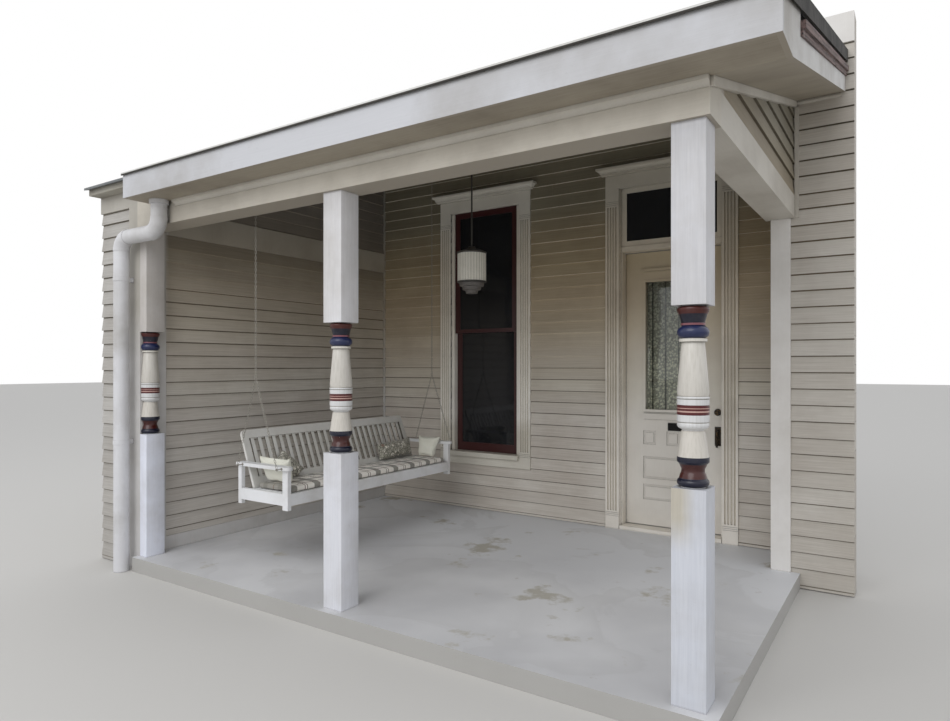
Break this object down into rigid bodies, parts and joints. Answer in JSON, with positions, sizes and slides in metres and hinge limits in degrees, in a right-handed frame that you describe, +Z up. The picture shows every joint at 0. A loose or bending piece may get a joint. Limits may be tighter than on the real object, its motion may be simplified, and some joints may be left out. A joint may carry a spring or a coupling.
{
  "type": "house front porch",
  "caption": "Timber front porch with a shed roof on turned posts over a concrete floor, with the house wall behind, a tall glazed door, a tall window and a hanging swing.",
  "frame": {"origin": "on the ground under the axis of the corner post", "axes": "+X along the front towards the right wing, +Y into the house, +Z up"},
  "size_m": [4.885, 3.165, 3.7288],
  "materials": {
    "concrete": "grey floor paint, worn and stained",
    "white_wood": "painted, weathered, bands picked out in colour",
    "trim_wood": "painted, satin, weathered",
    "fascia_wood": "painted, chalky",
    "siding": "painted clapboard",
    "brown_wood": "painted, worn",
    "bare_wood": "sawn",
    "ceiling_wood": "painted boards, dull",
    "roofing": "grey roofing, rough",
    "door_wood": "painted, satin",
    "sash_wood": "dark red gloss paint",
    "glass": "clear, dark room behind",
    "lace": "lace",
    "hardware": "aged",
    "dark_metal": "dark, aged",
    "milk_glass": "ribbed milk glass",
    "white_metal": "painted, dusty",
    "swing_wood": "white paint, weathered",
    "chain_metal": "galvanised, dull",
    "pad_cloth": "printed cotton",
    "floral_cloth": "flowered cotton",
    "cream_cloth": "plain cotton"
  },
  "bodies": {
    "porch": {"floor_slab": "concrete", "corner_post": "white_wood", "middle_post": "white_wood", "half_post": "white_wood", "front_beam": "trim_wood", "side_beam": "trim_wood", "soffit_mouldings": "trim_wood", "front_fascia": "fascia_wood", "soffit": "trim_wood", "rake_board": "fascia_wood", "rake_moulding": "brown_wood", "gable_wall": "siding", "rafters": "bare_wood", "roof_deck": "bare_wood", "roofing": "roofing", "ceiling": "ceiling_wood", "porch_wall_left": "siding", "porch_wall_right": "siding", "porch_wall_over_door": "siding", "left_wing_wall": "siding", "left_trim_boards": "trim_wood", "left_eave": "trim_wood", "right_wing_wall": "siding", "right_trim_boards": "trim_wood", "door_casing": "trim_wood", "door_frame": "trim_wood", "door_hinges": "hardware", "window_casing": "trim_wood", "window_frame_boards": "trim_wood", "window_sashes": "sash_wood", "window_glass": "glass", "lantern_metal": "dark_metal", "lantern_shade": "milk_glass", "downspout": "white_metal", "swing_hooks": "chain_metal"},
    "door": {"door_leaf": "door_wood", "door_glass": "glass", "lace_curtain": "lace", "door_hardware": "hardware"},
    "swing": {"swing_seat": "swing_wood", "swing_back": "swing_wood", "swing_arms": "swing_wood", "swing_chains": "chain_metal", "seat_cushion": "pad_cloth", "floral_pillows": "floral_cloth", "plain_pillows": "cream_cloth"}
  },
  "joints": [
    {"name": "front_door_hinge", "type": "hinge", "parent": "porch", "child": "door", "pos_m": [-1.31475, 2.765, 0.1385], "axis": [0, 0, 1], "range_deg": [0, 95]},
    {"name": "swing_hinge", "type": "hinge", "parent": "porch", "child": "swing", "pos_m": [-3.015, 0.23, 2.65152], "axis": [0, 0.9615, 0.275], "range_deg": [-12, 12]}
  ]
}
